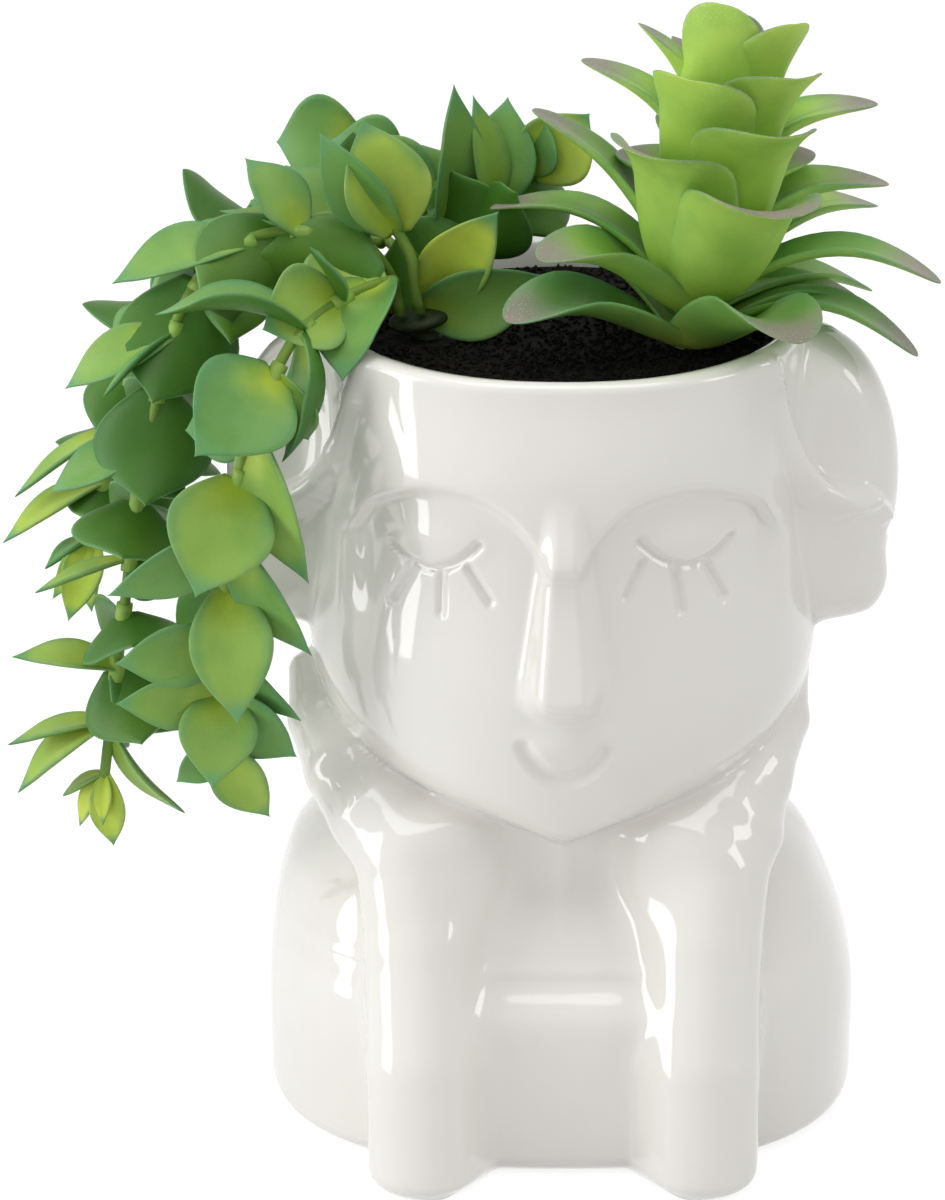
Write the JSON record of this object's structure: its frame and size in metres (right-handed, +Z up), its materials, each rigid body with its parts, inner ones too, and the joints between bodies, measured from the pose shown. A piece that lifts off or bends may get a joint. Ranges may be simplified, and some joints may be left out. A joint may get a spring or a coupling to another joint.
{
  "type": "face planter",
  "caption": "Glazed ceramic planter shaped as a head resting its chin in its hands, with an upright rosette succulent and a trailing succulent in dark grit.",
  "frame": {"origin": "centre of the flat foot that the pot stands on", "axes": "+Z up, the face looks along -Y, +X towards the rosette"},
  "size_m": [0.1802, 0.1273, 0.2236],
  "materials": {
    "glazed_ceramic": "gloss",
    "foam": "matte",
    "grit": "matte",
    "rosette_leaf": "satin",
    "trailing_leaf": "satin",
    "stem": "satin"
  },
  "bodies": {
    "pot": {"pot": "glazed_ceramic"},
    "planting": {"foam_plug": "foam", "soil_layer": "grit"},
    "rosette": {"rosette_stem": "stem", "rosette_whorl_1": "rosette_leaf", "rosette_whorl_2": "rosette_leaf", "rosette_whorl_3": "rosette_leaf", "rosette_whorl_4": "rosette_leaf", "rosette_whorl_5": "rosette_leaf", "rosette_whorl_6": "rosette_leaf", "rosette_whorl_7": "rosette_leaf", "rosette_whorl_8": "rosette_leaf"},
    "trailing": {"branch_back_leaves_1": "trailing_leaf", "branch_back_stem": "stem", "branch_crown_leaves_1": "trailing_leaf", "branch_crown_stem": "stem", "branch_front_leaves_1": "trailing_leaf", "branch_front_leaves_2": "trailing_leaf", "branch_front_leaves_3": "trailing_leaf", "branch_front_leaves_4": "trailing_leaf", "branch_front_leaves_5": "trailing_leaf", "branch_front_leaves_6": "trailing_leaf", "branch_front_stem": "stem", "branch_left_leaves_1": "trailing_leaf", "branch_left_leaves_2": "trailing_leaf", "branch_left_leaves_3": "trailing_leaf", "branch_left_leaves_4": "trailing_leaf", "branch_left_leaves_5": "trailing_leaf", "branch_left_leaves_6": "trailing_leaf", "branch_left_stem": "stem", "branch_outer_leaves_1": "trailing_leaf", "branch_outer_leaves_2": "trailing_leaf", "branch_outer_leaves_3": "trailing_leaf", "branch_outer_leaves_4": "trailing_leaf", "branch_outer_leaves_5": "trailing_leaf", "branch_outer_leaves_6": "trailing_leaf", "branch_outer_leaves_7": "trailing_leaf", "branch_outer_leaves_8": "trailing_leaf", "branch_outer_stem": "stem", "branch_rear_leaves_1": "trailing_leaf", "branch_rear_leaves_2": "trailing_leaf", "branch_rear_leaves_3": "trailing_leaf", "branch_rear_leaves_4": "trailing_leaf", "branch_rear_leaves_5": "trailing_leaf", "branch_rear_leaves_6": "trailing_leaf", "branch_rear_stem": "stem", "branch_upper_leaves_1": "trailing_leaf", "branch_upper_leaves_2": "trailing_leaf", "branch_upper_stem": "stem", "trailing_stake": "stem"}
  },
  "joints": [
    {"name": "planting_lift", "type": "slide", "parent": "pot", "child": "planting", "axis": [0, 0, 1], "range_m": [0, 0.085]},
    {"name": "rosette_pull", "type": "slide", "parent": "planting", "child": "rosette", "axis": [0.1305, 0, 0.9914], "range_m": [0, 0.045]},
    {"name": "trailing_pull", "type": "slide", "parent": "planting", "child": "trailing", "axis": [-0.2419, 0, 0.9703], "range_m": [0, 0.04]}
  ]
}
